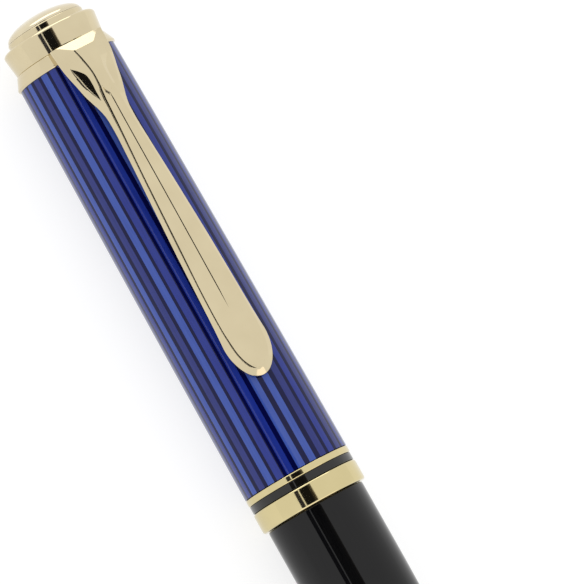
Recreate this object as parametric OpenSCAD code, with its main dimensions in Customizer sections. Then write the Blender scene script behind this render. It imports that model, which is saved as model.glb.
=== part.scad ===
// Twist-action ballpoint pen: a striped upper half with a clip and gold trim, and a black lower half
// with a gold nose cone. The pen lies along X, with its writing end towards +X and its clip towards +Z.
// Each piece is drawn upright at its station, the distance from the front face of the nose cone,
// and laid() turns the whole pen down onto its side. All sizes are in millimetres.

/* [Lower half] */
// Length of the lower half, from the nose to the joint
lower_len = 78.4; // [76:0.2:84]
// Length of the gold nose cone
cone_len = 8.1; // [7.6:0.1:8.6]
// Radius at the base of the nose cone
cone_r = 2.82; // [2.8:0.01:2.9]
// Radius of the lower barrel at the joint
lower_r = 5.8; // [5.75:0.01:5.9]

/* [Upper half] */
// Height of the wide gold band
wide_h = 2.46; // [2:0.02:3]
// Radius of the wide gold band, the widest place on the pen
wide_r = 6.3; // [6.28:0.01:6.5]
// Height of the black ring between the two gold bands
black_h = 0.88; // [0.6:0.02:1.2]
// Height of the narrow gold ring
narrow_h = 0.84; // [0.6:0.02:1.2]
// Length of the striped barrel
barrel_len = 50.8; // [50:0.2:56]
// Height of the ring that carries the clip
ring_h = 1.62; // [1.4:0.02:1.8]
// Height of the conical crown collar
collar_h = 2.8; // [2:0.1:3.5]
// Height of the rim round the crown's dome
rim_h = 0.78; // [0.6:0.02:1.4]
// Height of the crown's dome
dome_h = 1.52; // [1.2:0.01:2.2]

/* [Clip] */
// Half width of the clip where it leaves its ring
clip_root_w = 3.2; // [2.6:0.05:3.4]
// Half width of the clip at its neck
clip_neck_w = 1.48; // [1.2:0.02:1.7]
// Half width of the clip's paddle
clip_paddle_w = 2.63; // [2.2:0.01:2.8]
// Length of the clip from its ring to its tip
clip_len = 41.65; // [38:0.05:43]

/* [Refill and twist] */
// Length of the refill from ball to plug
refill_len = 98; // [97.5:0.1:98.5]
// Radius of the refill's tube
refill_r = 2.95; // [2.9:0.01:2.97]
// How deep the ball sits behind the front face when it is drawn in
ball_depth = 2.2; // [2:0.1:2.6]
// How far half a turn pushes the refill forward
stroke = 4.8; // [4.4:0.1:5]
// Radius of the cam pin
pin_r = 0.8; // [0.7:0.05:0.85]
// Turns in the refill's spring
spring_turns = 8; // [6:1:10]

/* [Hidden] */

$fn = 96;
gap = 0.01;      // between pieces that are fixed to each other
run = 0.05;      // between pieces that turn or slide
cut = 1;         // how far a cutter runs past what it cuts

// Stations of the joints between the visible pieces
wide_s = lower_len;
black_s = wide_s + wide_h;
narrow_s = black_s + black_h;
upper_s = narrow_s + narrow_h;
ring_s = upper_s + barrel_len;
collar_s = ring_s + ring_h;
rim_s = collar_s + collar_h;
dome_s = rim_s + rim_h;
pen_len = dome_s + dome_h;
axis_h = wide_r;             // the pen lies on its widest band

// Radii of the visible pieces that follow no driving size
black_r = wide_r - 0.1;
narrow_r = wide_r - 0.02;
ring_r = 6;
ring_top_r = 5.38;
ring_edge = 0.3;
collar_low_r = 5.3;
collar_top_r = 5.63;
rim_r = 4.57;
dome_r = 4.46;

// Radii of the tubes inside, from the refill outwards
bore_r = refill_r + 0.15;
guide_r = bore_r + 0.6;
sleeve_r = 4.6;
liner_r = 5;
stud_r = 2;
insert_r = 4.25;

// Stations of the hidden pieces
ball_s = ball_depth;
neck_len = 20;
shoulder_s = ball_s + neck_len;
plug_len = 4;
refill_end = ball_s + refill_len;
pin_s = refill_end + 4.3;
pusher_end = refill_end + 7.8;
spigot_end = cone_len + 4.4;
step_s = spigot_end + 4.1;       // the lower barrel's bore widens here
insert_s = lower_len - 11.4;
thread_s = lower_len - 9.9;
sleeve_s = upper_s + 0.42;
washer_s = upper_s;
sleeve_end = pin_s + 11.5;
guide_end = sleeve_end + 1.6;
oring_s = wide_s + 1.9;
clip_tip_s = collar_s - clip_len - 0.3;
pin_room = 0.15;                 // all round the pin in the cam's slots

// The pen's own direction, turned down onto the surface
module laid() {
    translate([pen_len / 2, 0, axis_h])
        rotate([0, -90, 0])
            children();
}

// A piece turned on the pen's axis, from [radius, station] points
module turned(points) {
    laid()
        rotate_extrude()
            polygon(points);
}

module disc(s0, s1, r) {
    translate([0, 0, s0])
        cylinder(h = s1 - s0, r = r);
}

// A cutter that runs past both ends of what it cuts
module drill(s0, s1, r) {
    disc(s0 - cut, s1 + cut, r);
}

module pipe(s0, s1, r_out, r_in) {
    difference() {
        disc(s0, s1, r_out);
        drill(s0, s1, r_in);
    }
}

function tanh(x) = (exp(2 * x) - 1) / (exp(2 * x) + 1);

function arc(centre, r, from, to, n = 6) =
    [for (i = [0:n]) let (a = from + (to - from) * i / n) centre + r * [cos(a), sin(a)]];

function bezier(a, b, c, d, n = 8) =
    [for (i = [0:n]) let (t = i / n, u = 1 - t)
        u * u * u * a + 3 * u * u * t * b + 3 * u * t * t * c + t * t * t * d];

// --- Lower half ---------------------------------------------------------------------------------

// Outside of the lower barrel: it swells quickly behind the cone, then runs almost straight
swell = 1.8085;
swell_len = 13.46;
parallel_s = lower_len - 8.4;    // from here to the joint the barrel is a true cylinder
blend_len = 5;
straight_len = parallel_s - cone_len - blend_len / 2;
lower_slope = (lower_r - cone_r - 0.02 - swell) / straight_len;

function lower_outside(s) =
    let (x = s - cone_len, over = max(0, x - straight_len + blend_len / 2))
    cone_r + 0.02 + swell * tanh(x / swell_len)
        + lower_slope * (x - over * over / (2 * blend_len));

module lower_barrel() {
    steps = 36;
    span = parallel_s - cone_len;
    outside = [for (i = [0:steps]) let (s = cone_len + span * i / steps) [lower_outside(s), s]];
    end_s = lower_len - run;
    color("#141416")
        turned(concat(
            [[2.2 + gap, cone_len], [2.2 + gap, spigot_end], [2.45, spigot_end], [2.45, step_s],
                [bore_r, step_s + 0.5], [bore_r, insert_s], [liner_r, insert_s], [liner_r, end_s],
                [lower_r - 0.1, end_s], [lower_r, end_s - 0.1]],
            [for (i = [0:steps]) outside[steps - i]]));
}

// Threaded brass insert, pressed into the open end of the lower barrel
module barrel_insert() {
    groove_step = 1.5;
    color("#b08d4a")
        laid()
            difference() {
                pipe(insert_s + gap, lower_len - 0.3, liner_r - gap, insert_r);
                for (s = [insert_s + 2:groove_step:lower_len - 2])
                    translate([0, 0, s])
                        pipe(0, 0.5, liner_r + cut, liner_r - 0.25);
            }
}

module nose_cone() {
    face_r = 1.39;
    edge_r = 1.66;
    edge_s = 0.3;
    tip_bore_r = 1.24;
    wide_bore_r = 1.95;
    color("#d8c693")
        turned([[tip_bore_r, 0], [face_r, 0], [1.54, 0.07], [1.63, 0.17], [edge_r, edge_s],
            [cone_r, cone_len - gap], [2.2, cone_len - gap], [2.2, spigot_end - gap],
            [wide_bore_r, spigot_end - gap], [wide_bore_r, 6.5], [tip_bore_r, 3]]);
}

// --- Refill and twist mechanism -----------------------------------------------------------------

module refill_tube() {
    color("#b9bcc0")
        turned([[1.5, shoulder_s], [refill_r - 0.35, shoulder_s],
            [refill_r, shoulder_s + 0.35], [refill_r, refill_end - plug_len],
            [2.6, refill_end - plug_len], [2.6, shoulder_s + 1], [1.5, shoulder_s + 1]]);
}

module refill_neck() {
    socket_r = 0.5;
    color("#c9a95a")
        turned([[0, ball_s + 1.02], [socket_r, ball_s + 0.84], [socket_r, ball_s + 0.55],
            [socket_r - 0.035, ball_s + 0.3], [0.58, ball_s + 0.3], [1.15, ball_s + 2.4],
            [1.15, ball_s + 6], [1.7, ball_s + 9.5], [1.7, shoulder_s - gap],
            [1.49, shoulder_s - gap], [1.49, shoulder_s + 3], [0, shoulder_s + 3]]);
}

module refill_ball() {
    ball_r = 0.48;
    color("#8d9094")
        laid()
            translate([0, 0, ball_s + ball_r])
                sphere(r = ball_r);
}

module refill_plug() {
    color("#2b2d30")
        turned([[0, refill_end - plug_len - 3], [2.59, refill_end - plug_len - 3],
            [2.59, refill_end - plug_len + gap], [refill_r, refill_end - plug_len + gap],
            [refill_r, refill_end - 0.4], [refill_r - 0.4, refill_end], [1.2, refill_end],
            [1.2, refill_end - 1.5], [0, refill_end - 1.5]]);
}

// Coil spring between the nose cone's spigot and the refill's shoulder
module refill_spring() {
    wire_r = 0.17;
    coil_r = 2.0;
    sides = 6;
    per_turn = 20;
    s0 = spigot_end + wire_r + 0.03;
    s1 = shoulder_s - wire_r - 0.03;
    rings = spring_turns * per_turn;
    points = [for (i = [0:rings], j = [0:sides - 1])
        let (turn = 360 * i / per_turn, side = 360 * j / sides, r = coil_r + wire_r * cos(side))
        [r * cos(turn), r * sin(turn), s0 + (s1 - s0) * i / rings + wire_r * sin(side)]];
    sleeve = [for (i = [0:rings - 1], j = [0:sides - 1])
        let (a = i * sides + j, b = i * sides + (j + 1) % sides) [a, b, b + sides, a + sides]];
    first = [[for (j = [0:sides - 1]) sides - 1 - j]];
    last = [[for (j = [0:sides - 1]) rings * sides + j]];
    color("#c3c6ca")
        laid()
            polyhedron(points, concat(sleeve, first, last));
}

// Pusher behind the refill, crossed by the cam pin
module pusher() {
    color("#e7e4dc")
        laid()
            difference() {
                union() {
                    disc(refill_end + 0.02, refill_end + 2, 2.4);
                    disc(refill_end + 2, pusher_end, bore_r - run);
                }
                translate([0, 0, pin_s])
                    rotate([90, 0, 0])
                        cylinder(h = 4 * bore_r, r = pin_r + gap, center = true);
            }
}

module cam_pin() {
    color("#a9adb2")
        laid()
            translate([0, 0, pin_s])
                rotate([90, 0, 0])
                    cylinder(h = 2 * sleeve_r - 0.3, r = pin_r, center = true);
}

// Tube that turns with the lower half: a threaded nose, a collar at the joint and two straight slots
module guide_tube() {
    slot_w = 2 * (pin_r + 0.08);
    groove_r = guide_r - 0.3;
    color("#c8a560")
        laid()
            difference() {
                union() {
                    disc(thread_s, guide_end, guide_r);
                    disc(thread_s, wide_s, insert_r - 0.25);
                    for (s = [thread_s + 0.6:1:wide_s - 1])
                        disc(s, s + 0.55, insert_r - run);
                    disc(wide_s, washer_s - run, sleeve_r - run);
                }
                drill(thread_s, guide_end, bore_r);
                for (s = [pin_s - stroke, pin_s])
                    translate([0, 0, s])
                        rotate([90, 0, 0])
                            cylinder(h = 4 * sleeve_r, r = slot_w / 2, center = true);
                translate([-slot_w / 2, -2 * sleeve_r, pin_s - stroke])
                    cube([slot_w, 4 * sleeve_r, stroke]);
                pipe(sleeve_end + 0.08, sleeve_end + 0.72, sleeve_r + cut, groove_r);
                pipe(oring_s - 0.45, oring_s + 0.45, sleeve_r + cut, 3.78);
            }
}

module friction_ring() {
    color("#1c1c1e")
        laid()
            translate([0, 0, oring_s])
                rotate_extrude()
                    translate([4.19, 0])
                        circle(r = 0.39, $fn = 24);
}

module thrust_washer() {
    color("#e8e6df")
        laid()
            pipe(washer_s + gap, sleeve_s - gap, sleeve_r - gap, guide_r + run);
}

// One of the two cam slots: a turned sector that climbs one stroke in half a turn
module cam_slot() {
    slot_half = pin_r + pin_room;
    mean_r = (guide_r + sleeve_r) / 2;
    climb = atan(2 * stroke / (2 * PI * mean_r));
    half_angle = slot_half / (mean_r * sin(climb)) * 180 / PI;
    slot_h = stroke + 2 * slot_half;
    turn = slot_h / stroke * 180;
    start = 180 * slot_half / stroke;
    reach = sleeve_r + cut;
    fan = [for (i = [0:6]) let (a = -half_angle + half_angle * i / 3) reach * [cos(a), sin(a)]];
    translate([0, 0, pin_s - stroke - slot_half])
        rotate([0, 0, start])
            linear_extrude(height = slot_h, twist = turn, slices = 36, $fn = 16)
                polygon(concat([[0, 0]], fan));
}

// Fixed sleeve with the two cam slots: turning the guide tube inside it drives the pin along them
module cam_sleeve() {
    color("#d9d5c8")
        laid()
            difference() {
                pipe(sleeve_s, sleeve_end, sleeve_r - gap, guide_r + run);
                for (side = [90, 270])
                    rotate([0, 0, side])
                        cam_slot();
            }
}

// Open ring that snaps into the guide tube's groove and holds it in the sleeve
module retaining_clip() {
    color("#9a9da1")
        laid()
            difference() {
                pipe(sleeve_end + 0.1, sleeve_end + 0.7, sleeve_r - 0.25, guide_r - 0.29);
                translate([-1.1, 0, sleeve_end - cut])
                    cube([2.2, 2 * sleeve_r, 4]);
            }
}

// --- Upper half ---------------------------------------------------------------------------------

// Outside of the striped barrel: it widens gently from the clip's ring to the bands
function upper_outside(s) = let (x = ring_s - s) 5.78 + 0.0125 * x - 0.00006 * x * x;

module upper_barrel() {
    steps = 24;
    end_s = ring_s - gap;
    span = end_s - upper_s;
    color("#1d2a86")
        turned(concat(
            [for (i = [0:steps]) let (s = upper_s + gap + (span - gap) * i / steps)
                [upper_outside(s), s]],
            [[liner_r + gap, end_s], [liner_r + gap, upper_s + gap]]));
}

module upper_liner() {
    color("#b9974f")
        laid()
            pipe(wide_s + 0.3, ring_s - gap, liner_r, sleeve_r);
}

// A band with rounded edges, slipped over the liner
module band(s0, s1, r, edge) {
    turned(concat(
        [[liner_r + gap, s0]],
        arc([r - edge, s0 + edge], edge, -90, 0),
        arc([r - edge, s1 - edge], edge, 0, 90),
        [[liner_r + gap, s1]]));
}

module wide_trim_band() {
    color("#d8c693")
        band(wide_s, black_s - gap, wide_r, 0.32);
}

module black_trim_ring() {
    color("#141416")
        band(black_s, narrow_s - gap, black_r, 0.06);
}

module narrow_trim_ring() {
    color("#d8c693")
        band(narrow_s, upper_s, narrow_r, 0.22);
}

// Ring under the crown that carries the clip, widest at its barrel end
module clip_ring() {
    color("#d8c693")
        turned(concat(
            [[stud_r + run, ring_s]],
            arc([ring_r - ring_edge, ring_s + ring_edge], ring_edge, -90, 20),
            [[ring_top_r, collar_s - gap], [stud_r + run, collar_s - gap]]));
}

// Threaded plug in the top of the liner
module top_plug() {
    color("#b9974f")
        laid()
            pipe(ring_s - 6, ring_s - 2 * gap, sleeve_r - gap, stud_r + gap);
}

// Screw that holds the crown and the clip's ring to the plug
module crown_stud() {
    stud_s = ring_s - 8;
    color("#9fa3a8")
        laid()
            union() {
                disc(stud_s, rim_s + 0.3, stud_r - 0.3);
                for (s = [stud_s + 0.5:0.8:rim_s])
                    disc(s, s + 0.45, stud_r - gap);
            }
}

module crown_collar() {
    edge = 0.5;
    color("#d8c693")
        turned(concat(
            [[stud_r + gap, collar_s], [collar_low_r - 0.1, collar_s], [collar_low_r, collar_s + 0.12]],
            arc([collar_top_r - edge, rim_s - edge], edge, 0, 90),
            [[4.1, rim_s], [4.1, rim_s - 0.3], [stud_r + gap, rim_s - 0.3]]));
}

module crown_rim() {
    edge = 0.15;
    color("#d8c693")
        turned(concat(
            [[stud_r + gap, rim_s - 0.3 + gap], [4.1 - gap, rim_s - 0.3 + gap], [4.1 - gap, rim_s + gap],
                [rim_r, rim_s + gap]],
            arc([rim_r - edge, dome_s - edge], edge, 0, 90, 3),
            [[dome_r - 0.3, dome_s], [dome_r - 0.3, dome_s - 0.5], [stud_r + gap, dome_s - 0.5]]));
}

// Domed cap set in the rim
module crown_dome() {
    foot_r = dome_r - 0.31;
    color("#e3d5a8")
        turned(concat(
            [[0, dome_s - 0.48], [foot_r, dome_s - 0.48], [foot_r, dome_s + gap],
                [dome_r, dome_s + gap]],
            [for (i = [1:14]) let (a = 90 * i / 14) [dome_r * cos(a), dome_s + dome_h * sin(a)]]));
}

// --- Clip ---------------------------------------------------------------------------------------

paddle_s = clip_tip_s + 4.55;    // where the paddle is widest
neck_s = collar_s - 11;          // where the clip is narrowest
root_s = collar_s - 8;           // where the blade opens into the two flanks of the root
clip_top = collar_s - 0.15;
foot_r = 4.7;                    // how far down the flanks reach beside the ring

function smooth(t) = let (u = min(1, max(0, t))) u * u * (3 - 2 * u);

function clip_half(s) =
    s < paddle_s
        ? clip_paddle_w * sqrt(max(0, 1 - pow((paddle_s - s) / (paddle_s - clip_tip_s), 2)))
        : s < neck_s
            ? clip_paddle_w + (clip_neck_w - clip_paddle_w) * (s - paddle_s) / (neck_s - paddle_s)
            : clip_neck_w + (clip_root_w - clip_neck_w) * smooth((s - neck_s) / (clip_top - neck_s));

// The clip from above: [across, station] points of one side, from its tip to its root
function clip_edge() = concat(
    [for (i = [0:7]) let (s = paddle_s - (paddle_s - clip_tip_s) * cos(90 * i / 8)) [clip_half(s), s]],
    [[clip_paddle_w, paddle_s]],
    [for (i = [0:10]) let (s = neck_s + (clip_top - neck_s) * i / 10) [clip_half(s), s]]);

// The clip from the side: [height above the axis, station] points
function clip_top_line() = concat(
    bezier([7.0, clip_tip_s], [7.45, clip_tip_s + 1.5], [7.45, clip_tip_s + 4], [7.47, clip_tip_s + 8]),
    bezier([7.6, clip_tip_s + 14], [7.85, clip_tip_s + 26], [8.4, root_s + 1], [8.42, root_s + 5]),
    [[8.4, clip_top - 1.25], [7.35, clip_top], [foot_r + 0.8, clip_top]]);

function clip_under_line() =
    [[foot_r, clip_top], [foot_r, root_s + 6.3], [6.6, root_s + 5.4], [6.7, root_s + 3],
        [7.05, root_s + 0.5], [7.08, root_s - 2], [6.95, clip_tip_s + 22], [6.65, clip_tip_s + 9],
        [6.52, clip_tip_s + 5], [6.48, clip_tip_s + 3], [6.6, clip_tip_s + 0.4]];

// The clip's section at its root: an arch over the ring, in [height above the axis, across] points
arch_w = 3.35;
arch_base = 4.7;
arch_h = 3.75;
arch_power = 2.6;

function arch_side(side) =
    [for (i = [0:9]) let (a = 90 * (side > 0 ? i : 9 - i) / 9)
        [arch_base + arch_h * pow(sin(a), 2 / arch_power), side * arch_w * pow(cos(a), 2 / arch_power)]];

// Pointed oval facet, cut into one flank of the clip's root
leaf_s = root_s + 3.1;
leaf_len = 4.6;
leaf_w = 1;
leaf_floor = 8.02;               // from the axis, square to the facet
leaf_turn = 12;                  // degrees round the axis from the middle of the clip

module leaf_cut(side) {
    bow = (leaf_len * leaf_len / leaf_w + leaf_w) / 4;
    rotate([0, 0, side * leaf_turn])
        rotate([90, 0, 90])
            translate([0, 0, leaf_floor])
                linear_extrude(height = 3)
                    translate([0, leaf_s])
                        intersection() {
                            translate([bow - leaf_w / 2, 0])
                                circle(r = bow, $fn = 180);
                            translate([leaf_w / 2 - bow, 0])
                                circle(r = bow, $fn = 180);
                        }
}

module pocket_clip() {
    side = clip_edge();
    count = len(side);
    outline = concat(side, [for (i = [1:count]) [-side[count - i][0], side[count - i][1]]]);
    wall = 0.62;
    roof = 7.25;
    color("#d8c693")
        laid()
            difference() {
                intersection() {
                    rotate([90, 0, 90])
                        linear_extrude(height = 12)
                            polygon(outline);
                    rotate([90, 0, 0])
                        linear_extrude(height = 12, center = true)
                            polygon(concat(clip_top_line(), clip_under_line()));
                    translate([0, 0, clip_tip_s - cut])
                        linear_extrude(height = clip_len + 2 * cut)
                            polygon(concat([[arch_base - cut, arch_w]], arch_side(1), arch_side(-1),
                                [[arch_base - cut, -arch_w]]));
                }
                // the hollow under the root, between the two side strands
                rotate([90, 0, 90])
                    linear_extrude(height = roof)
                        polygon([[clip_neck_w - wall, root_s - 1], [2.5 - wall, root_s + 5],
                            [2.5 - wall, clip_top - 1.6], [wall - 2.5, clip_top - 1.6],
                            [wall - 2.5, root_s + 5], [wall - clip_neck_w, root_s - 1]]);
                // the facet in each flank
                leaf_cut(-1);
                leaf_cut(1);
                // room for the ring and the barrel
                rotate_extrude()
                    polygon([[0, root_s - 2], [ring_r + run, root_s - 2],
                        [ring_r + run, ring_s + ring_edge + run], [ring_top_r + run, collar_s],
                        [ring_top_r + run, collar_s + cut], [0, collar_s + cut]]);
            }
}

crown_dome();
crown_rim();
crown_collar();
crown_stud();
top_plug();
clip_ring();
pocket_clip();
upper_barrel();
upper_liner();
narrow_trim_ring();
black_trim_ring();
wide_trim_band();
cam_sleeve();
thrust_washer();
guide_tube();
retaining_clip();
friction_ring();
pusher();
cam_pin();
refill_plug();
refill_tube();
refill_neck();
refill_ball();
refill_spring();
lower_barrel();
barrel_insert();
nose_cone();
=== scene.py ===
import math
import random
import bmesh
import bpy
from mathutils import Matrix, Vector


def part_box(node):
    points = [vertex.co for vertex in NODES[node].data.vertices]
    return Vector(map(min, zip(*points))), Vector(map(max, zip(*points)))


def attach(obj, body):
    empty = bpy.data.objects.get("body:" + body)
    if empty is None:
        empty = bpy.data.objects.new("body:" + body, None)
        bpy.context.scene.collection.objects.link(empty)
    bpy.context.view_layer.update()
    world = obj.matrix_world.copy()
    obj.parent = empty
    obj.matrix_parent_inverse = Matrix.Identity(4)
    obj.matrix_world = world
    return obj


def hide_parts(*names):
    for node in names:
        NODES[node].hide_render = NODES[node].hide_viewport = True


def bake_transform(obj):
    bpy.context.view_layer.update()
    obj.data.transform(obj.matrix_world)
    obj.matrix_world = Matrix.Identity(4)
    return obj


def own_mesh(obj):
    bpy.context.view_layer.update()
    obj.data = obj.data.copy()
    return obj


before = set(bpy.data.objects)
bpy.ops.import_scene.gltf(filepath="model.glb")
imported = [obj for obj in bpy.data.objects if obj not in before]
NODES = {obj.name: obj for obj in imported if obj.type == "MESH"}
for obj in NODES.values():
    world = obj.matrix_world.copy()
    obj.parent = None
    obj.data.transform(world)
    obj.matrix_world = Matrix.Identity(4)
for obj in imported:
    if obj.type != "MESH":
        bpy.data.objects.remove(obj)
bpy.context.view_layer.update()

MM = 0.001
NOSE_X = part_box("nose_cone")[1].x
AXIS_Z = (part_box("wide_trim_band")[0].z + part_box("wide_trim_band")[1].z) / 2


# --- Places -----------------------------------------------------------------
# The pen's own measures are millimetres: its station from the front face of the
# nose, its radius, and the angle round the axis from the clip's side.

def place(station, across, rise):
    """A point in the row frame, from its station, its distance across and its height over the axis."""
    return Vector((NOSE_X - station * MM, across * MM, AXIS_Z + rise * MM))


def around(station, radius, angle):
    """A point in the row frame, from its station, its radius and its angle round the axis."""
    return place(station, radius * math.sin(angle), radius * math.cos(angle))


def span(node):
    """First and last station of a CAD node."""
    low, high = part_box(node)
    return (NOSE_X - high.x) / MM, (NOSE_X - low.x) / MM


def radius_of(node):
    """Greatest radius of a CAD node."""
    low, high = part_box(node)
    return (high.y - low.y) / 2 / MM


def outside(node):
    """The CAD node's outer line, as (station, radius) points from the nose end."""
    widest = {}
    for vertex in NODES[node].data.vertices:
        station = round((NOSE_X - vertex.co.x) / MM, 3)
        radius = math.hypot(vertex.co.y, vertex.co.z - AXIS_Z) / MM
        widest[station] = max(radius, widest.get(station, 0))
    return sorted(widest.items())


def read(table, x):
    """Smooth curve through (x, y) points, sorted by x."""
    if x <= table[0][0]:
        return table[0][1]
    if x >= table[-1][0]:
        return table[-1][1]
    i = max(k for k in range(len(table) - 1) if table[k][0] <= x)
    (x0, y0), (x1, y1) = table[i], table[i + 1]
    slope = (y1 - y0) / (x1 - x0)

    def tangent(k):
        if k == 0 or k == len(table) - 1:
            return slope
        before = (table[k][1] - table[k - 1][1]) / (table[k][0] - table[k - 1][0])
        after = (table[k + 1][1] - table[k][1]) / (table[k + 1][0] - table[k][0])
        if before * after <= 0:
            return 0
        return 2 * before * after / (before + after)

    h = x1 - x0
    t = (x - x0) / h
    a = tangent(i) * h
    b = tangent(i + 1) * h
    return (y0 * (1 + 2 * t) * (1 - t) ** 2 + a * t * (1 - t) ** 2
            + y1 * t * t * (3 - 2 * t) + b * t * t * (t - 1))


def smooth(t):
    """0 to 1 as t goes from 0 to 1, with soft ends."""
    t = min(1, max(0, t))
    return t * t * (3 - 2 * t)


# --- Meshes -----------------------------------------------------------------

SHARP_ANGLE = 38         # degrees between two faces, from which their edge is drawn sharp
RADIUS_ZERO = 1e-6       # millimetres, under which a ring of points is one point


def finish_mesh(name, bm, body, materials, sharp=SHARP_ANGLE):
    """Turns the built faces into a shaded object with its materials, on its body."""
    bmesh.ops.recalc_face_normals(bm, faces=bm.faces)
    mesh = bpy.data.meshes.new(name)
    bm.to_mesh(mesh)
    bm.free()
    for material in materials:
        mesh.materials.append(material)
    mesh.shade_smooth()
    mesh.set_sharp_from_angle(angle=math.radians(sharp))
    obj = bpy.data.objects.new(name, mesh)
    bpy.context.scene.collection.objects.link(obj)
    normals = obj.modifiers.new("normals", "WEIGHTED_NORMAL")
    normals.keep_sharp = True
    if body:
        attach(obj, body)
    return obj


def rounded(corners, steps=6):
    """Outline through (station, radius, fillet) corners, each one rounded to its fillet."""
    points = []
    count = len(corners)
    for i, (s, r, fillet) in enumerate(corners):
        here = Vector((s, r))
        if not fillet:
            points.append((s, r))
            continue
        back = Vector(corners[i - 1][:2]) - here
        ahead = Vector(corners[(i + 1) % count][:2]) - here
        turn = back.angle(ahead)
        reach = fillet / math.tan(turn / 2)
        back.normalize()
        ahead.normalize()
        centre = here + (back + ahead).normalized() * (fillet / math.sin(turn / 2))
        start = here + back * reach - centre
        end = here + ahead * reach - centre
        sweep = start.angle_signed(end)
        for k in range(steps + 1):
            spoke = start.copy()
            spoke.rotate(Matrix.Rotation(-sweep * k / steps, 2))
            points.append(tuple(centre + spoke))
    return points


def lathe(name, profile, body, materials, count=192, paint=None, angles=None):
    """Turns a closed (station, radius) outline round the pen's axis. A radius of 0 closes the end.

    The faces stand at even angles, or at the given ones, and paint picks each face's material.
    """
    angles = angles or [math.tau * k / count for k in range(count)]
    count = len(angles)
    bm = bmesh.new()
    rings = []
    for s, r in profile:
        if r < RADIUS_ZERO:
            rings.append([bm.verts.new(place(s, 0, 0))])
        else:
            rings.append([bm.verts.new(around(s, r, a)) for a in angles])
    for i, ring in enumerate(rings):
        other = rings[(i + 1) % len(rings)]
        if len(ring) == 1 and len(other) == 1:
            continue
        for k in range(count):
            n = (k + 1) % count
            if len(ring) == 1:
                face = bm.faces.new((ring[0], other[n], other[k]))
            elif len(other) == 1:
                face = bm.faces.new((ring[k], ring[n], other[0]))
            else:
                face = bm.faces.new((ring[k], ring[n], other[n], other[k]))
            if paint:
                face.material_index = paint(i, k)
    return finish_mesh(name, bm, body, materials)


# --- Materials --------------------------------------------------------------

class Graph:
    """A material under construction."""

    def __init__(self, name):
        self.material = bpy.data.materials.new(name)
        self.material.use_nodes = True
        self.tree = self.material.node_tree
        self.shader = self.tree.nodes["Principled BSDF"]
        self.coords = self.tree.nodes.new("ShaderNodeTexCoord").outputs["Object"]

    def add(self, kind, **settings):
        made = self.tree.nodes.new(kind)
        for key, value in settings.items():
            setattr(made, key, value)
        return made

    def link(self, source, target):
        self.tree.links.new(source, target)

    def stretched(self, x, y, z):
        """Object coordinates scaled by axis. A small scale draws the pattern out along that axis."""
        mapping = self.add("ShaderNodeMapping")
        self.link(self.coords, mapping.inputs["Vector"])
        mapping.inputs["Scale"].default_value = (x, y, z)
        return mapping.outputs["Vector"]

    def noise(self, vector, scale, detail=3.0, rough=0.55):
        noise = self.add("ShaderNodeTexNoise")
        self.link(vector, noise.inputs["Vector"])
        noise.inputs["Scale"].default_value = scale
        noise.inputs["Detail"].default_value = detail
        noise.inputs["Roughness"].default_value = rough
        return noise.outputs["Fac"]

    def remap(self, source, low, high, start=0.3, end=0.7):
        """Spreads values from start to end over low to high."""
        change = self.add("ShaderNodeMapRange")
        self.link(source, change.inputs["Value"])
        change.inputs["From Min"].default_value = start
        change.inputs["From Max"].default_value = end
        change.inputs["To Min"].default_value = low
        change.inputs["To Max"].default_value = high
        return change.outputs["Result"]

    def mix(self, factor, a, b):
        mixer = self.add("ShaderNodeMix", data_type="RGBA")
        self.link(factor, mixer.inputs["Factor"])
        for socket, value in ((mixer.inputs["A"], a), (mixer.inputs["B"], b)):
            if isinstance(value, tuple):
                socket.default_value = (*value, 1)
            else:
                self.link(value, socket)
        return mixer.outputs["Result"]

    def bump(self, height, depth):
        bump = self.add("ShaderNodeBump")
        self.link(height, bump.inputs["Height"])
        bump.inputs["Distance"].default_value = depth
        return bump.outputs["Normal"]

    def set(self, **values):
        """Sets the shader's inputs, or links them to another node."""
        for key, value in values.items():
            socket = self.shader.inputs[key.replace("_", " ")]
            if isinstance(value, bpy.types.NodeSocket):
                self.link(value, socket)
            elif isinstance(value, tuple):
                socket.default_value = (*value, 1)
            else:
                socket.default_value = value


def metal(name, light, dark, rough_low, rough_high, brush=(1, 1, 1), brush_depth=0.0):
    """Plated or turned metal: soft tone changes, uneven gloss, and fine marks along the brush."""
    g = Graph(name)
    broad = g.noise(g.coords, scale=260, detail=3)
    fine = g.noise(g.stretched(*brush), scale=9000, detail=2)
    colour = g.mix(g.remap(broad, 0, 1), dark, light)
    rough = g.remap(fine, rough_low, rough_high)
    g.set(Metallic=1.0, Base_Color=colour, Roughness=rough)
    if brush_depth:
        g.set(Normal=g.bump(fine, brush_depth))
    return g.material


def resin(name, light, dark, ior=1.42):
    """Polished resin: streaks along the pen, and a few very fine polishing marks."""
    gloss, dullest = 0.03, 0.054
    g = Graph(name)
    streaks = g.noise(g.stretched(0.05, 1, 1), scale=5200, detail=4, rough=0.6)
    cloud = g.noise(g.coords, scale=420, detail=2)
    mixed = g.mix(g.remap(cloud, 0.25, 0.75), dark, light)
    colour = g.mix(g.remap(streaks, 0, 1, start=0.35, end=0.65), mixed, light)
    marks = g.noise(g.coords, scale=14000, detail=2)
    g.set(Base_Color=colour, Roughness=g.remap(marks, gloss, dullest), IOR=ior)
    return g.material


def moulded(name, light, dark, roughness, grain):
    """Moulded plastic or rubber with a fine grain."""
    grain_depth = 4e-6
    g = Graph(name)
    cloud = g.noise(g.coords, scale=600, detail=3)
    fine = g.noise(g.coords, scale=grain, detail=3)
    g.set(Base_Color=g.mix(g.remap(cloud, 0, 1), dark, light),
          Roughness=g.remap(fine, roughness * 0.8, roughness * 1.2),
          Normal=g.bump(fine, grain_depth))
    return g.material


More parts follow.
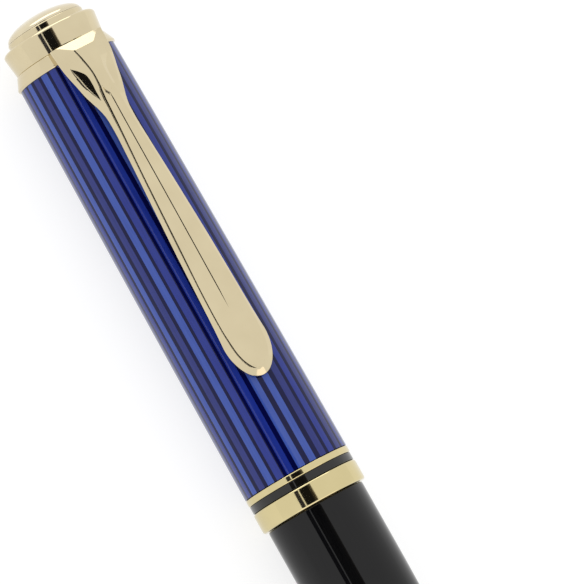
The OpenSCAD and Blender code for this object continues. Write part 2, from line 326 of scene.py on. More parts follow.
GOLD = metal("gold_plate", (0.66, 0.57, 0.375), (0.62, 0.53, 0.345), 0.05, 0.085)
# The dome's gold is paler than the other gold: painted sheen of the bright surroundings on the dome's top.
DOME_GOLD_PAINTED_SHEEN = metal("dome_gold_painted_sheen", (0.70, 0.62, 0.44), (0.665, 0.58, 0.41), 0.05, 0.09)
BAND_GOLD = metal("band_gold", (0.655, 0.565, 0.31), (0.62, 0.53, 0.285), 0.05, 0.085)
BRASS = metal("turned_brass", (0.64, 0.47, 0.2), (0.56, 0.4, 0.16), 0.16, 0.3, (25, 1, 1), 2e-6)
STEEL = metal("bright_steel", (0.62, 0.63, 0.65), (0.52, 0.53, 0.55), 0.1, 0.2, (1, 6, 6), 1e-6)
REFILL = metal("refill_steel", (0.58, 0.59, 0.6), (0.48, 0.49, 0.5), 0.2, 0.36, (0.04, 1, 1), 2e-6)
CARBIDE = metal("ball_carbide", (0.42, 0.43, 0.45), (0.3, 0.31, 0.33), 0.05, 0.1)
NYLON = moulded("cam_nylon", (0.8, 0.78, 0.71), (0.72, 0.7, 0.62), 0.4, 7000)
PLUG = moulded("plug_plastic", (0.035, 0.035, 0.042), (0.02, 0.02, 0.025), 0.4, 7000)
RUBBER = moulded("seal_rubber", (0.022, 0.022, 0.022), (0.012, 0.012, 0.012), 0.62, 12000)
BLACK = resin("black_resin", (0.0035, 0.0034, 0.0036), (0.0015, 0.0015, 0.0018), ior=1.37)
BAND_BLACK = resin("band_black", (0.006, 0.0052, 0.004), (0.003, 0.0026, 0.002), ior=1.5)
BRIGHT_BLUE = resin("blue_bright", (0.042, 0.084, 0.36), (0.024, 0.054, 0.29))
MID_BLUE = resin("blue_mid", (0.013, 0.029, 0.235), (0.006, 0.016, 0.18))
DIM_BLUE = resin("blue_dim", (0.017, 0.027, 0.18), (0.009, 0.015, 0.12))
DARK_GAP = resin("blue_black", (0.0012, 0.0022, 0.046), (0.0005, 0.0009, 0.022), ior=1.33)

# The inner pieces are the CAD's own meshes.
for material, names in (
        (BRASS, ("top_plug", "upper_liner", "guide_tube", "refill_neck", "barrel_insert")),
        (STEEL, ("crown_stud", "retaining_clip", "cam_pin")),
        (REFILL, ("refill_tube",)),
        (CARBIDE, ("refill_ball",)),
        (NYLON, ("cam_sleeve", "thrust_washer", "pusher")),
        (PLUG, ("refill_plug",)),
        (RUBBER, ("friction_ring",))):
    for name in names:
        NODES[name].data.materials.clear()
        NODES[name].data.materials.append(material)


# --- Lower half -------------------------------------------------------------

CONE_END, LOWER_END = span("lower_barrel")
CONE_BORE = 1.25
CONE_WIDE_BORE = 1.95
BORE_START, BORE_END = 3, 6.5
SPIGOT_R = 2.2
SPIGOT_HOLE_R = 2.3
FRONT_EDGE = 0.12
REAR_EDGE = 0.2
REAR_EDGE_STEPS = 6
REAR_ROOM = 0.35
MOUTH_R = 4.3
MOUTH_DEPTH = 11.2
MOUTH_CHAMFER = 0.2
MOUTH_CHAMFER_R = 0.25
REFILL_BORE_R = 4.0
NARROW_BORE_R = 3.4
NARROW_BORE_DEPTH = 8
HOLE_DEPTH = 4.5
LOWER_STEPS = 90


def swept(node, start, end, steps):
    """The CAD node's outer line again, with more points."""
    line = outside(node)
    stations = [start + (end - start) * k / steps for k in range(steps + 1)]
    return [(s, read(line, s)) for s in stations]


def build_cone():
    """The nose cone and its spigot. Its bore widens from the ball's mouth to the spring's seat."""
    line = outside("nose_cone")
    front_r = line[0][1]
    foot, foot_r = max(line, key=lambda p: p[1])
    back = span("nose_cone")[1]
    profile = rounded([
        (0, CONE_BORE, 0.06), (0, front_r, 0.12), (foot, foot_r, 0.05), (foot, SPIGOT_R, 0),
        (back, SPIGOT_R, 0.1), (back, CONE_WIDE_BORE, 0.05), (BORE_END, CONE_WIDE_BORE, 0),
        (BORE_START, CONE_BORE, 0)])
    cone = lathe("cone", profile, "lower_half", [GOLD])
    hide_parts("nose_cone")


def build_lower_barrel():
    """The black barrel: its outer line, a rounded rear edge, the insert's seat and the refill's bore."""
    line = swept("lower_barrel", CONE_END + FRONT_EDGE, LOWER_END - REAR_ROOM, LOWER_STEPS)
    profile = [(CONE_END, SPIGOT_HOLE_R), (CONE_END, line[0][1] - FRONT_EDGE)]
    profile += line
    flat_r = line[-1][1] - REAR_EDGE     # where the rear face ends and its rounding begins
    for k in range(1, REAR_EDGE_STEPS + 1):
        a = math.pi / 2 * k / REAR_EDGE_STEPS
        profile.append((LOWER_END - REAR_EDGE + REAR_EDGE * math.sin(a), flat_r + REAR_EDGE * math.cos(a)))
    # The mouth's chamfer, the insert's seat, and the bore that narrows to the spigot's hole.
    profile += [
        (LOWER_END, MOUTH_R + MOUTH_CHAMFER_R), (LOWER_END - MOUTH_CHAMFER, MOUTH_R),
        (LOWER_END - MOUTH_DEPTH, MOUTH_R), (LOWER_END - MOUTH_DEPTH, REFILL_BORE_R),
        (CONE_END + NARROW_BORE_DEPTH, NARROW_BORE_R), (CONE_END + HOLE_DEPTH, SPIGOT_HOLE_R)]
    barrel = lathe("lower_barrel_resin", profile, "lower_half", [BLACK])
    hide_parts("lower_barrel")


# --- Spring -----------------------------------------------------------------

SPRING_TURNS = 8
STEPS_PER_TURN = 40
WIRE_R = 0.17
WIRE_SIDES = 10


def build_spring():
    """Round wire in an even coil, carried with the refill."""
    start, end = span("refill_spring")
    coil_r = radius_of("refill_spring") - WIRE_R
    steps = SPRING_TURNS * STEPS_PER_TURN
    bm = bmesh.new()
    loops = []
    for i in range(steps + 1):
        turn = math.tau * SPRING_TURNS * i / steps
        middle = start + WIRE_R + (end - start - 2 * WIRE_R) * i / steps
        loop = []
        for j in range(WIRE_SIDES):
            side = math.tau * j / WIRE_SIDES
            r = coil_r + WIRE_R * math.cos(side)
            loop.append(bm.verts.new(around(middle + WIRE_R * math.sin(side), r, turn)))
        loops.append(loop)
    for near, far in zip(loops, loops[1:]):
        for j in range(WIRE_SIDES):
            k = (j + 1) % WIRE_SIDES
            bm.faces.new((near[j], near[k], far[k], far[j]))
    bm.faces.new(loops[0][::-1])
    bm.faces.new(loops[-1])
    spring = finish_mesh("spring", bm, "refill", [STEEL])
    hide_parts("refill_spring")
    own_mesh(spring)


# --- Bands ------------------------------------------------------------------

BORE_R = radius_of("upper_liner") + 0.01
RING_COUNT = 256


def build_band(name, node, edge, material):
    """A ring on the brass liner, with its two outer edges rounded."""
    start, end = span(node)
    radius = radius_of(node)
    profile = rounded([
        (start, BORE_R, 0), (start, radius, edge),
        (end, radius, edge), (end, BORE_R, 0)], steps=8)
    band = lathe(name, profile, "upper_half", [material], count=RING_COUNT)
    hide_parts(node)


# --- Striped barrel ---------------------------------------------------------
# Angles in degrees. The stripes on the front have their own centres, measured from the
# angle SEEN_FROM, and the others are spread evenly over the rest of the barrel.

STRIPES = 30
STRIPE_WIDTH = 7.7
WIDTH_SPREAD = (0.94, 1.06)
STRIPE_FACES = 5
GAP_FACES = 3
SEEN_FROM = -22
SEEN_CENTRES = [-49.8, -37, -24.7, -13.4, -1.5, 11.2, 24.4, 37.5, 49.3, 62]
STRIPE_MATERIALS = [BRIGHT_BLUE, MID_BLUE, DIM_BLUE, DARK_GAP]
TONE_LETTERS = "bmd"
TONES = "bdbmmbbdmdmbmdbmdbmmdbmbdmmbdm"
GAP_TONE = 3
UPPER_STEPS = 60


def stripe_angles():
    """Angles and tones round the barrel. Each stripe is a few faces wide, and its width varies a little."""
    pick = random.Random(11)
    centres = list(SEEN_CENTRES)
    step = (360 - (centres[-1] - centres[0])) / (STRIPES - len(centres) + 1)
    while len(centres) < STRIPES:
        centres.append(centres[-1] + step)
    following = centres[1:] + [centres[0] + 360]
    angles = []
    tones = []
    for centre, after, tone in zip(centres, following, TONES):
        half = STRIPE_WIDTH / 2 * pick.uniform(*WIDTH_SPREAD)
        for k in range(STRIPE_FACES):
            angles.append(math.radians(SEEN_FROM + centre - half + 2 * half * k / STRIPE_FACES))
            tones.append(TONE_LETTERS.index(tone))
        gap_start = centre + half
        gap_end = after - STRIPE_WIDTH / 2
        for k in range(GAP_FACES):
            angles.append(math.radians(SEEN_FROM + gap_start + (gap_end - gap_start) * k / GAP_FACES))
            tones.append(GAP_TONE)
    return angles, tones


def build_striped_barrel():
    start, end = span("upper_barrel")
    line = swept("upper_barrel", start, end, UPPER_STEPS)
    profile = line + [(end, BORE_R), (start, BORE_R)]
    angles, tones = stripe_angles()
    skin = len(line) - 1
    barrel = lathe("striped_barrel", profile, "upper_half", STRIPE_MATERIALS,
                   angles=angles, paint=lambda i, k: tones[k] if i < skin else GAP_TONE)
    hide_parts("upper_barrel")


# --- Crown ------------------------------------------------------------------
# Each piece is clamped by the stud. It starts from its CAD node's box, and its corners
# are (station, radius, fillet).

STUD_R = 2.06
COLLAR_SEAT_R = 4.1
DOME_SEAT_R = 4.15
DOME_STEPS = 28


def gold_ring(name, node, corners, steps=6):
    """A turned gold piece of the upper half, from its (station, radius, fillet) corners."""
    ring = lathe(name, rounded(corners, steps), "upper_half", [GOLD], count=RING_COUNT)
    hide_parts(node)


def build_clip_ring():
    start, end = span("clip_ring")
    radius = radius_of("clip_ring")
    gold_ring("ring", "clip_ring", [
        (start, STUD_R, 0), (start, radius - 0.02, 0.26), (start + 0.3, radius + 0.01, 0.2),
        (end, radius - 0.58, 0.1), (end, STUD_R, 0)])


def build_collar():
    """The conical collar, with a shallow seat for the rim in its end."""
    start, end = span("crown_collar")
    radius = radius_of("crown_collar")
    seat = end - 0.3
    gold_ring("collar", "crown_collar", [
        (start, STUD_R, 0), (start, radius - 0.33, 0.1), (end, radius + 0.03, 0.42),
        (end, COLLAR_SEAT_R, 0), (seat, COLLAR_SEAT_R, 0), (seat, STUD_R, 0)], steps=10)


def build_rim():
    """The rim, which sits in the collar and holds the dome."""
    shoulder = span("crown_collar")[1] + 0.01
    foot = shoulder - 0.3
    high = span("crown_rim")[1]
    seat = high - 0.5
    spigot_r = COLLAR_SEAT_R - 0.01
    radius = radius_of("crown_rim")
    gold_ring("rim", "crown_rim", [
        (foot, STUD_R, 0), (foot, spigot_r, 0), (shoulder, spigot_r, 0), (shoulder, radius, 0),
        (high, radius, 0.15), (high, DOME_SEAT_R, 0), (seat, DOME_SEAT_R, 0), (seat, STUD_R, 0)])


def build_dome():
    foot, apex = span("crown_dome")
    start = span("crown_rim")[1] + 0.01
    radius = radius_of("crown_dome")
    profile = [(foot, 0), (foot, radius - 0.32), (start, radius - 0.32)]
    for k in range(DOME_STEPS + 1):
        a = math.pi / 2 * k / DOME_STEPS
        profile.append((start + (apex - start) * math.sin(a), radius * math.cos(a)))
    # The dome takes the paler gold, whose lightness is painted sheen.
    dome = lathe("dome", profile, "upper_half", [DOME_GOLD_PAINTED_SHEEN], count=RING_COUNT)
    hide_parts("crown_dome")


# --- Clip -------------------------------------------------------------------
# The tables give, for stations in order: the outline's half-width, the half-width of the
# flat panel on top, the heights over the axis of the panel, of the outline's edge, of the
# solid blade's underside and of the side walls' foot, and the ends of the flank's facet
# as shares of the flank's width.

RING_START = span("clip_ring")[0]
RING_R = radius_of("clip_ring")
BARREL_LINE = outside("upper_barrel")
TIP_S = span("pocket_clip")[0] + 0.15
ROOT_S = span("pocket_clip")[1]
ROOT_START = 132.95
PADDLE_S = 97.6
PADDLE_W = 2.63
HALF_WIDTH = [
    (PADDLE_S, PADDLE_W), (100, 2.5), (104.3, 2.35), (108.7, 2.2), (113, 2), (117.4, 1.78), (121.7, 1.57),
    (124, 1.48), (125.5, 1.5), (126.6, 1.67), (127.7, 2), (128.8, 2.33), (130.2, 2.62), (131.5, 2.92),
    (132.6, 3.1), (133.5, 3.18), (135, 3.22)]
PANEL = [
    (97.4, 1.88), (99.5, 2.02), (104, 1.95), (109, 1.7), (117.6, 1.33), (121, 1.13), (124.4, 0.92),
    (127.2, 0.78), (128.7, 0.66), (130.2, 0.66), (131.5, 0.79), (132.6, 0.97), (133.5, 1.17), (135, 1.4)]
TOP = [
    (93, 7.48), (95, 7.58), (97.5, 7.62), (101, 7.58), (106.5, 7.7), (115, 7.92), (119.5, 8), (125, 8.08),
    (127.2, 8.17), (128.7, 8.24), (130.2, 8.34), (131.5, 8.44), (132.6, 8.4), (133.8, 8.24), (135, 8)]
EDGE = [
    (93, 6.78), (95, 6.86), (97.6, 6.92), (101, 7.02), (106.5, 7.18), (115, 7.4), (119.5, 7.47),
    (125, 7.46), (127.2, 7.27), (128.7, 7.12), (130.2, 7.04), (132.6, 6.93), (133.5, 6.88), (135, 6.8)]
UNDER = [
    (93, 6.5), (97.6, 6.55), (101, 6.6), (106.5, 6.75), (115, 6.95), (119.5, 7.03), (125, 7.08),
    (127.5, 7.1), (135, 7.1)]
SKIRT = [
    (93, 6.58), (97.6, 6.62), (101, 6.67), (106.5, 6.82), (115, 7.02), (119.5, 7.1), (125, 7.14),
    (127.5, 6.95), (130, 6.72), (132.7, 6.6), (133.5, 5.3), (135, 5.2)]
FACET_INNER = [
    (127.5, 0.39), (128.1, 0.34), (128.75, 0.32), (129.5, 0.28), (130.1, 0.27), (130.7, 0.29),
    (131.45, 0.455), (132.15, 0.71)]
FACET_OUTER = [
    (127.5, 0.39), (128.1, 0.52), (128.75, 0.65), (129.5, 0.76), (130.1, 0.8), (130.7, 0.8),
    (131.45, 0.77), (132.15, 0.71)]
FACET_SLOPES = (0.26, 0.55)
PADDLE_INSET = 0.76
TIP_EXTRA_INSET = 0.04
LEAST_PANEL = 0.02
LEAST_BOWED = 0.3

# The ridge's fillet, and the most it takes of the flank's and of the panel's width.
FILLET = [(93, 0.17), (117, 0.2), (124, 0.27), (128, 0.27), (131, 0.2), (134, 0.14)]
FILLET_OF_FLANK = 0.45
FILLET_OF_PANEL = 0.7
PAST_FILLET = 1.3
PANEL_BOW = 0.01

# Between these stations the solid blade turns into a roof with two side walls.
LEGS_START, LEGS_END = 127.0, 129.6
ROOF = 0.6
SHELL = 0.48
SHELL_OFFSET = 0.28
SHELL_SPREAD = 0.2
WALL = 0.45
WALL_LEAN = 0.035
WALL_FOOT = 0.06
WALL_TOP = 0.2
BLADE_INSET = 0.12
LEAST_THICKNESS = 0.02

# The outline's small rounding, as steps away from its corner, and the rim's bulge under it.
EDGE_ABOVE = Vector((-0.05, 0.04))
EDGE_BELOW = Vector((-0.012, -0.03))
EDGE_DROP = 0.1
RIM_STEPS = 5
RIM_BULGE = 0.16

# Room kept from the ring, which is conical behind its shoulder, and from the barrel.
RING_AHEAD = 0.1
RING_GAP = 0.05
RING_SLOPE = 0.52
RING_SHOULDER = 0.35
BARREL_GAP = 0.12

# The engraved line, and the pointed tongue in which the root's roof ends.
GROOVE_START, GROOVE_END = 101.4, 128
GROOVE_BLUNT = 0.2
GROOVE_FADE_IN, GROOVE_FADE_OUT = 2.5, 0.8
GROOVE_W = 0.1
GROOVE_DEPTH = 0.037
TONGUE_S = 127.9
TONGUE_LEAN = 1.6
TONGUE_RUN = 0.45
TONGUE_DROP = 0.12

# The sloping cut at the root's end: its height at the last station, and its slope.
CUT_RISE = 7.22
CUT_SLOPE = 0.87
HALVINGS = 18

# Points across a side of the clip, and rows along it.
PANEL_COLUMNS = 10
RIDGE_STEPS = 6
UPPER_COLUMNS = 4
FACET_COLUMNS = 8
LOWER_COLUMNS = 4
WALL_STEPS = 3
TIP_ROWS = 28
ROOT_ROWS = 4
CUT_ROWS = 2
BLADE_END = 126.6
BLADE_STEP, TONGUE_STEP, ROOT_STEP = 0.6, 0.07, 0.15
CLIP_SHARP_ANGLE = 14
MERGE = 2e-6


def groove_width(s):
    """Half-width of the engraved line down the middle of the clip. It tapers to both ends."""
    if s < GROOVE_START or s > GROOVE_END:
        return 0
    fade_in = min(1, (s - GROOVE_START + GROOVE_BLUNT) / GROOVE_FADE_IN)
    fade_out = min(1, (GROOVE_END - s) / GROOVE_FADE_OUT)
    return GROOVE_W * fade_in * fade_out


def tongue_drop(s, y):
    """How far the blade's panel lies under the pointed tongue that ends the root's roof."""
    return TONGUE_DROP * smooth((TONGUE_S + TONGUE_LEAN * y - s) / TONGUE_RUN)


def clear_of_pen(s, y, rise):
    """The point, moved out if it is inside the ring or the barrel."""
    if s > RING_START - RING_AHEAD:
        room = RING_R + RING_GAP - RING_SLOPE * max(0, s - RING_START - RING_SHOULDER)
    else:
        room = read(BARREL_LINE, s) + BARREL_GAP
    reach = math.hypot(y, rise)
    if reach >= room or s < LEGS_START:
        return y, rise
    return y * room / reach, rise * room / reach


def panel_inset(s, y_edge):
    """How far the ridge lies in from the outline."""
    if s < PADDLE_S:
        return PADDLE_INSET + TIP_EXTRA_INSET * (PADDLE_S - s) / (PADDLE_S - TIP_S)
    return y_edge - read(PANEL, s)


def panel_line(s, ridge_y, back, top):
    """Half the clip's top as (across, rise) points, from the engraved line to the ridge's fillet."""
    groove = groove_width(s)
    middle = top - tongue_drop(s, 0)
    points = [(0.0, middle - GROOVE_DEPTH * groove / GROOVE_W), (groove, middle)]
    for k in range(1, PANEL_COLUMNS + 1):
        y = max(groove + (ridge_y - back - groove) * k / (PANEL_COLUMNS + 1), 0)
        bow = PANEL_BOW * (y / max(ridge_y, LEAST_BOWED)) ** 2
        points.append((y, top - tongue_drop(s, y) - bow))
    return points


def flank_line(s, width, drop):
    """The flank from ridge to outline, as (outward, rise) points. A pointed facet lies flatter in it."""
    inner = read(FACET_INNER, s)
    outer = read(FACET_OUTER, s)
    share = outer - inner
    near, far = FACET_SLOPES
    strand = (drop / width - (near + far) / 2 * share) / (1 - share)
    points = []
    rise = 0.0
    last = 0.0
    shares = [inner * k / UPPER_COLUMNS for k in range(1, UPPER_COLUMNS + 1)]
    shares += [inner + share * k / FACET_COLUMNS for k in range(1, FACET_COLUMNS + 1)]
    shares += [outer + (1 - outer) * k / LOWER_COLUMNS for k in range(1, LOWER_COLUMNS + 1)]
    for i, x in enumerate(shares):
        slope = strand
        if UPPER_COLUMNS <= i < UPPER_COLUMNS + FACET_COLUMNS:
            slope = near + (far - near) * (i - UPPER_COLUMNS + 0.5) / FACET_COLUMNS
        rise -= slope * (x - last) * width
        last = x
        points.append(Vector((x * width, rise)))
    return points


def ridge_curve(back, top, slope):
    """The rounded ridge between panel and flank, as (outward, rise) points."""
    start = Vector((-back, top - PANEL_BOW))
    ridge = Vector((0, top))
    end = Vector((back, top - slope * back))
    steps = [k / RIDGE_STEPS for k in range(RIDGE_STEPS + 1)]
    return [start * (1 - t) ** 2 + ridge * 2 * t * (1 - t) + end * t * t for t in steps]


def side_line(flank, back, ridge_end, inset, low, skirt):
    """The flank after the ridge's curve, then the outline's small rounding and the wall down to its foot."""
    line = [p for p in flank if p.x > back * PAST_FILLET]
    while len(line) < len(flank):
        line.insert(0, ridge_end.lerp(line[0], 0.5))
    corner = line[-1]
    line[-1] = corner + EDGE_ABOVE
    line.append(corner + EDGE_BELOW)
    line.append(corner + Vector((0, -EDGE_DROP)))
    for k in range(1, WALL_STEPS + 1):
        rise = low - EDGE_DROP + (skirt + WALL_FOOT - low + EDGE_DROP) * k / WALL_STEPS
        line.append(Vector((inset - WALL_LEAN * k, rise)))
    return line


def inside_line(line, on_flank, legs, inset, low, under, skirt):
    """The clip's inside under side_line: hollow where it stands on its walls, flat under the solid blade."""
    points = []
    for i, p in enumerate(line):
        share = i / (len(line) - 1)
        shell = Vector((max(p.x - SHELL_OFFSET - SHELL_SPREAD * share, 0), max(p.y - SHELL, skirt)))
        if i >= on_flank:
            shell = Vector((inset - WALL, max(skirt, min(p.y, low - WALL_TOP))))
        solid = Vector((max(0, p.x * (inset - BLADE_INSET) / inset), under))
        points.append(shell * legs + solid * (1 - legs))
    return points


def section(edge, normal):
    """One side of the clip, cut across at an outline point, as lines from its middle to its rim.

    The outer line is what shows, and the inner line has as many points. Each point is
    (station, across, rise), and normal is the outline's direction there.
    """
    s, y_edge = edge
    inset = panel_inset(s, y_edge)
    ridge_s = s - normal[0] * inset
    ridge_y = max(0.0, y_edge - normal[1] * inset)
    top = read(TOP, ridge_s)
    low = read(EDGE, s)
    under = read(UNDER, s)
    skirt = read(SKIRT, s)
    legs = smooth((s - LEGS_START) / (LEGS_END - LEGS_START))
    panel = max(ridge_y - groove_width(ridge_s), LEAST_PANEL)
    back = min(read(FILLET, s), inset * FILLET_OF_FLANK, panel * FILLET_OF_PANEL)

    def out_from_ridge(p):
        return ridge_s + normal[0] * p.x, max(0, ridge_y + normal[1] * p.x), p.y

    outer = [(ridge_s, y, rise) for y, rise in panel_line(ridge_s, ridge_y, back, top)]
    top -= tongue_drop(ridge_s, ridge_y)
    flank = flank_line(s, inset, top - low)
    curve = ridge_curve(back, top, -flank[0].y / flank[0].x)
    outer += [out_from_ridge(p) for p in curve]
    roof = under * (1 - legs) + (top - ROOF) * legs
    inner = [(point[0], point[1], roof) for point in outer]
    flank = [Vector((p.x, top + p.y)) for p in flank]
    line = side_line(flank, back, curve[-1], inset, low, skirt)
    outer += [out_from_ridge(p) for p in line]
    inner += [out_from_ridge(p) for p in inside_line(line, len(flank), legs, inset, low, under, skirt)]
    outer = [(point[0], *clear_of_pen(*point)) for point in outer]
    inner = [(point[0], *clear_of_pen(*point)) for point in inner]
    return outer, inner


def straight(s):
    """The section square across the clip."""
    return section((s, read(HALF_WIDTH, s)), (0, 1))


def cut_height(s):
    """The height of the sloping end cut."""
    return CUT_RISE + (ROOT_S - s) * CUT_SLOPE


def cut_station(column):
    """Where a column of the clip meets the end cut."""
    low, high = ROOT_START, ROOT_S
    for _ in range(HALVINGS):
        s = (low + high) / 2
        if straight(s)[0][column][2] < cut_height(s):
            low = s
        else:
            high = s
    return low


def row_step(s):
    """Distance to the clip's next row. The rows are closest at the tongue."""
    if s < BLADE_END:
        return BLADE_STEP
    if s < LEGS_END:
        return TONGUE_STEP
    return ROOT_STEP


def tip_rows():
    """Rows round the clip's tip, which is half an ellipse."""
    length = PADDLE_S - TIP_S
    rows = []
    for k in range(TIP_ROWS):
        a = math.pi / 2 * (1 - k / TIP_ROWS)
        point = (PADDLE_S - length * math.sin(a), PADDLE_W * math.cos(a))
        way = Vector((-math.sin(a) / length, math.cos(a) / PADDLE_W)).normalized()
        rows.append(section(point, (way.x, way.y)))
    return rows


def straight_rows():
    """Rows from the paddle to the end cut's first station."""
    rows = []
    s = PADDLE_S
    while s < ROOT_START - 0.01:
        rows.append(straight(s))
        s += row_step(s)
    rows.append(straight(ROOT_START))
    return rows


def root_rows():
    """Rows up to the end cut, which each column meets at its own station."""
    columns = range(len(straight(ROOT_START)[0]))
    ends = [cut_station(j) for j in columns]
    rows = []
    for k in range(1, ROOT_ROWS + 1):
        lines = [straight(ROOT_START + (end - ROOT_START) * k / ROOT_ROWS) for end in ends]
        rows.append(([lines[j][0][j] for j in columns], [lines[j][1][j] for j in columns]))
    return rows


def cut_rows(edge_outer, edge_inner):
    """Rows down the end cut, to the upright face at the root."""
    rows = []
    for k in range(1, CUT_ROWS + 1):
        share = k / CUT_ROWS
        outer = []
        inner = []
        for (s0, y0, r0), (s1, y1, r1), last in zip(edge_outer, edge_inner, straight(ROOT_S)[1]):
            s = s0 + (ROOT_S - s0) * share
            top = min(r0, cut_height(s))
            outer.append((s, y0, top))
            s = s1 + (ROOT_S - s1) * share
            rise = r1 + (last[2] - r1) * share
            inner.append((s, *clear_of_pen(s, y1, min(rise, top - LEAST_THICKNESS))))
        rows.append((outer, inner))
    return rows


def rim_points(outer, inner):
    """The clip's rounded lower edge, between its outer and inner lines."""
    a = Vector(outer)
    b = Vector(inner)
    across = b - a
    out = Vector((0, -across.z, across.y)).normalized() * across.length * -RIM_BULGE
    steps = [k / RIM_STEPS for k in range(1, RIM_STEPS)]
    return [tuple(a + across * t + out * (4 * t * (1 - t))) for t in steps]


def build_clip():
    """The clip, as two mirrored sides that meet in the middle. Each row is a closed loop on each side."""
    rows = tip_rows() + straight_rows() + root_rows()
    rows += cut_rows(*rows[-1])
    columns = len(rows[0][0])
    bm = bmesh.new()
    for side in (1, -1):
        grid = []
        for outer, inner in rows:
            loop = outer + rim_points(outer[-1], inner[-1]) + inner[::-1]
            grid.append([bm.verts.new(place(s, side * y, r)) for s, y, r in loop])
        count = len(grid[0])
        for low, high in zip(grid, grid[1:]):
            for j in range(count - 1):
                bm.faces.new((low[j], low[j + 1], high[j + 1], high[j]))
        end = grid[-1]
        for j in range(columns - 1):
            bm.faces.new((end[j], end[j + 1], end[count - 2 - j], end[count - 1 - j]))
        bm.faces.new(end[columns - 1:count - columns + 1])
    bmesh.ops.remove_doubles(bm, verts=bm.verts, dist=MERGE)
    bmesh.ops.dissolve_degenerate(bm, edges=bm.edges, dist=MERGE)
    clip = finish_mesh("clip", bm, None, [GOLD], sharp=CLIP_SHARP_ANGLE)
    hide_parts("pocket_clip")
    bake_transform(clip)


build_cone()
build_lower_barrel()
build_spring()
build_band("wide_band", "wide_trim_band", 0.32, BAND_GOLD)
build_band("black_band", "black_trim_ring", 0.06, BAND_BLACK)
build_band("narrow_band", "narrow_trim_ring", 0.22, BAND_GOLD)
build_striped_barrel()
build_clip_ring()
build_collar()
build_rim()
build_dome()
build_clip()


# --- Light, floor and camera ------------------------------------------------
# The light is a white world. Cards that show only as reflections add a dark slot behind
# the camera and a brighter light at each end of the pen.

WORLD_LIGHT = 1.04
FLOOR_GLOW = 0.74
FLOOR_GREY = 0.34
FLOOR_HALF = 2
FLOOR_Z = -1e-4

world = bpy.data.worlds.new("tent")
world.use_nodes = True
world.node_tree.nodes["Background"].inputs["Color"].default_value = (1, 1, 1, 1)
world.node_tree.nodes["Background"].inputs["Strength"].default_value = WORLD_LIGHT
bpy.context.scene.world = world
bpy.context.scene.view_settings.view_transform = "Standard"


def glowing(name, colour, strength, grey=0.0):
    """Matt material that gives light. Grey is the share of other light that it sends back."""
    material = bpy.data.materials.new(name)
    material.use_nodes = True
    shader = material.node_tree.nodes["Principled BSDF"]
    shader.inputs["Base Color"].default_value = (grey, grey, grey, 1)
    shader.inputs["Specular IOR Level"].default_value = 0
    shader.inputs["Roughness"].default_value = 1
    shader.inputs["Emission Color"].default_value = (*colour, 1)
    shader.inputs["Emission Strength"].default_value = strength
    return material


def see_from_below(material):
    """Let a view from under the floor pass through it."""
    nodes = material.node_tree.nodes
    links = material.node_tree.links
    side = nodes.new("ShaderNodeNewGeometry")
    clear = nodes.new("ShaderNodeBsdfTransparent")
    mix = nodes.new("ShaderNodeMixShader")
    links.new(side.outputs["Backfacing"], mix.inputs[0])
    links.new(nodes["Principled BSDF"].outputs[0], mix.inputs[1])
    links.new(clear.outputs[0], mix.inputs[2])
    links.new(mix.outputs[0], nodes["Material Output"].inputs["Surface"])


def card(name, corners, material, seen=False):
    """Flat stage piece. Unless it is to be seen, it shows only as a reflection."""
    mesh = bpy.data.meshes.new(name)
    mesh.from_pydata([tuple(c) for c in corners], [], [tuple(range(len(corners)))])
    mesh.materials.append(material)
    obj = bpy.data.objects.new(name, mesh)
    bpy.context.scene.collection.objects.link(obj)
    if not seen:
        obj.visible_camera = False
        obj.visible_diffuse = False
        obj.visible_shadow = False
        obj.visible_transmission = False


# The camera looks down on the pen, tilted across and along its axis, and is rolled so
# that the pen lies slanted in the frame.
TILT_ACROSS = math.radians(20)
TILT_ALONG = math.radians(4.4)
ROLL = math.radians(29.45)
AIM_STATION = 100.05
AIM_ACROSS = 9.15
DISTANCE = 0.713

back = Vector((math.sin(TILT_ALONG), -math.cos(TILT_ALONG) * math.sin(TILT_ACROSS),
               math.cos(TILT_ALONG) * math.cos(TILT_ACROSS)))
across = Vector((0, math.cos(TILT_ACROSS), math.sin(TILT_ACROSS)))
along = Vector((math.cos(TILT_ALONG), math.sin(TILT_ALONG) * math.sin(TILT_ACROSS),
                -math.sin(TILT_ALONG) * math.cos(TILT_ACROSS)))
right = along * math.sin(ROLL) + across * math.cos(ROLL)
up = along * -math.cos(ROLL) + across * math.sin(ROLL)
aim = place(AIM_STATION, 0, 0) + across * AIM_ACROSS * MM

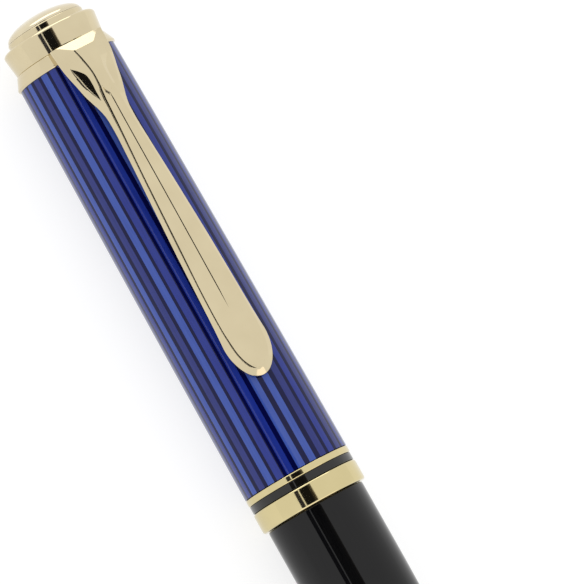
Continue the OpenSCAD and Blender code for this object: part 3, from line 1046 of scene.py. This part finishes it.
camera_data = bpy.data.cameras.new("camera")
camera_data.sensor_width = 36
camera_data.lens = 404.3
camera_data.clip_start = 0.01
camera_data.clip_end = 20
camera = bpy.data.objects.new("camera", camera_data)
camera.matrix_world = Matrix((
    (right.x, up.x, back.x, 0), (right.y, up.y, back.y, 0), (right.z, up.z, back.z, 0), (0, 0, 0, 1)))
camera.location = aim + back * DISTANCE
bpy.context.scene.collection.objects.link(camera)
bpy.context.scene.camera = camera

floor = glowing("floor_white", (1, 1, 1), FLOOR_GLOW, FLOOR_GREY)
see_from_below(floor)
floor_corners = [(-FLOOR_HALF, -FLOOR_HALF), (FLOOR_HALF, -FLOOR_HALF), (FLOOR_HALF, FLOOR_HALF),
                 (-FLOOR_HALF, FLOOR_HALF)]
card("floor", [(x, y, FLOOR_Z) for x, y in floor_corners], floor, seen=True)

SLOT_AWAY = 0.9
SLOT_TOWARD_CROWN = -0.5
SLOT_TOWARD_NOSE = 0.65


def slot_card(name, start, end, tone):
    """Strip of the dark slot behind the camera, between two angles seen from the pen, in degrees."""
    centre = aim + back * SLOT_AWAY
    edges = [centre + across * SLOT_AWAY * math.tan(math.radians(angle)) for angle in (start, end)]
    corners = [edges[0] + along * SLOT_TOWARD_CROWN, edges[1] + along * SLOT_TOWARD_CROWN,
               edges[1] + along * SLOT_TOWARD_NOSE, edges[0] + along * SLOT_TOWARD_NOSE]
    card(name, corners, glowing(name, tone, 1.0))


slot_card("slot_left", -22.8, -14.1, (0.035, 0.035, 0.05))
slot_card("slot_middle", -11.6, 7.4, (0.012, 0.012, 0.014))
slot_card("slot_right", 7.4, 11.4, (0.045, 0.04, 0.035))
slot_card("slot_edge", 11.4, 13.8, (0.15, 0.13, 0.11))


def end_light(name, colour, strength, foot_x, top_x, left_y, top):
    """Bright card that stands across the pen's line, beyond one of its ends."""
    right_y = 0.6
    foot = 0.01
    corners = [(foot_x, left_y, foot), (foot_x, right_y, foot), (top_x, right_y, top), (top_x, left_y, top)]
    card(name, corners, glowing(name, colour, strength))


end_light("crown_light", (0.97, 0.99, 1), 2.35, foot_x=-0.9, top_x=-0.84, left_y=-0.4, top=0.42)
end_light("tip_light", (1, 0.95, 0.93), 1.6, foot_x=0.95, top_x=0.95, left_y=-0.6, top=0.5)
